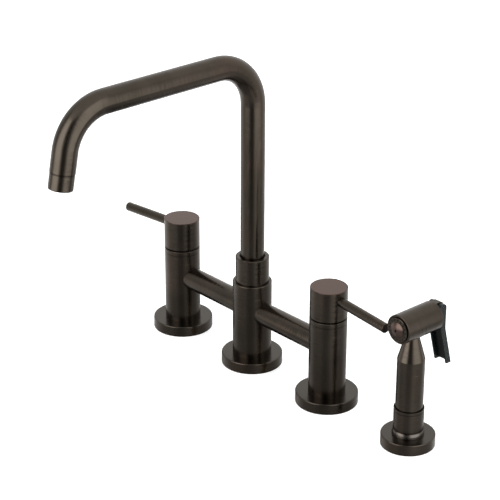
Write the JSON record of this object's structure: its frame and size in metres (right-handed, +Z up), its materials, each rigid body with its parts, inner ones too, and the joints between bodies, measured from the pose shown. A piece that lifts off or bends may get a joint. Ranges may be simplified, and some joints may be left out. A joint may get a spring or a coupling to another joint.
{
  "type": "two handle bridge kitchen faucet with side sprayer",
  "caption": "Bridge kitchen faucet for a sink deck: lever-handled valve columns joined by a bridge tube, a tall swivel spout on the centre column, and a trigger sprayer in its own deck holder.",
  "frame": {"origin": "on the deck's top face, under the middle of the centre column", "axes": "+X along the bridge towards the sprayer, -Y towards the user (the spout's way), +Z up"},
  "size_m": [0.405, 0.2663, 0.3768],
  "materials": {
    "bronze": "oil-rubbed bronze, satin",
    "spray_face": "bronze-coloured plating, satin",
    "brass": "turned, unplated",
    "steel": "plain",
    "ceramic": "lapped alumina ceramic",
    "rubber": "matte",
    "acetal": "natural white acetal",
    "black_plastic": "black, glossy"
  },
  "bodies": {
    "base": {"centre_body": "bronze", "centre_flange": "bronze", "centre_gasket": "rubber", "centre_shank": "brass", "deck_washers": "steel", "diverter_cage": "acetal", "holder_bushing": "acetal", "holder_nut": "brass", "holder_washer": "steel", "left_bonnet_nut": "brass", "left_bridge_tube": "bronze", "left_cartridge_housing": "brass", "left_fixed_disc": "ceramic", "left_flange": "bronze", "left_gasket": "rubber", "left_seat_seal": "rubber", "left_shank": "brass", "left_valve_body": "bronze", "lock_nuts": "brass", "right_bonnet_nut": "brass", "right_bridge_tube": "bronze", "right_cartridge_housing": "brass", "right_fixed_disc": "ceramic", "right_flange": "bronze", "right_gasket": "rubber", "right_seat_seal": "rubber", "right_shank": "brass", "right_valve_body": "bronze", "spout_bearing": "acetal", "spout_collar": "bronze", "sprayer_flange": "bronze", "sprayer_gasket": "rubber", "sprayer_holder": "bronze", "thrust_washer": "acetal"},
    "left_handle": {"left_handle_cap": "bronze", "left_lever": "bronze", "left_set_screw": "steel", "left_stem": "brass", "left_moving_disc": "ceramic"},
    "right_handle": {"right_handle_cap": "bronze", "right_lever": "bronze", "right_set_screw": "steel", "right_stem": "brass", "right_moving_disc": "ceramic"},
    "spout": {"spout_hub": "brass", "hub_o_rings": "rubber", "spout_tube": "bronze", "aerator_housing": "bronze", "aerator_insert": "acetal", "aerator_seal": "rubber"},
    "diverter": {"diverter_shuttle": "acetal"},
    "sprayer_hose_end": {"hose_connector": "brass", "connector_o_ring": "rubber"},
    "sprayer": {"sprayer_grip": "bronze", "sprayer_head": "bronze", "spray_face": "spray_face", "trigger_pin": "steel", "plunger_spring": "steel"},
    "trigger": {"trigger": "black_plastic"},
    "spray_valve": {"spray_plunger": "brass"}
  },
  "joints": [
    {"name": "left_handle_turn", "type": "hinge", "parent": "base", "child": "left_handle", "pos_m": [-0.1016, 0, 0.1], "axis": [0, 0, 1], "range_deg": [0, 90]},
    {"name": "right_handle_turn", "type": "hinge", "parent": "base", "child": "right_handle", "pos_m": [0.1016, 0, 0.1], "axis": [0, 0, -1], "range_deg": [0, 90]},
    {"name": "spout_swivel", "type": "hinge", "parent": "base", "child": "spout", "pos_m": [0, 0, 0.1], "axis": [0, 0, 1], "continuous": true},
    {"name": "diverter_shift", "type": "slide", "parent": "base", "child": "diverter", "axis": [0, 0, 1], "range_m": [0, 0.003]},
    {"name": "sprayer_lift", "type": "slide", "parent": "base", "child": "sprayer_hose_end", "axis": [0, 0, 1], "range_m": [0, 0.09]},
    {"name": "sprayer_turn", "type": "hinge", "parent": "sprayer_hose_end", "child": "sprayer", "pos_m": [0.2032, 0, 0.05], "axis": [0, 0, 1], "range_deg": [-180, 60]},
    {"name": "trigger_pull", "type": "hinge", "parent": "sprayer", "child": "trigger", "pos_m": [0.2032, 0.0295, 0.1228], "axis": [-1, 0, 0], "range_deg": [0, 10], "stiffness_Nm_per_rad": 0.8, "springref_deg": -8.59},
    {"name": "plunger_push", "type": "slide", "parent": "sprayer", "child": "spray_valve", "axis": [0, -1, 0], "range_m": [0, 0.0021], "deforming": ["plunger_spring"]}
  ],
  "couplings": [
    {"joint": "plunger_push", "follows": "trigger_pull", "m_per_rad": 0.01203}
  ]
}
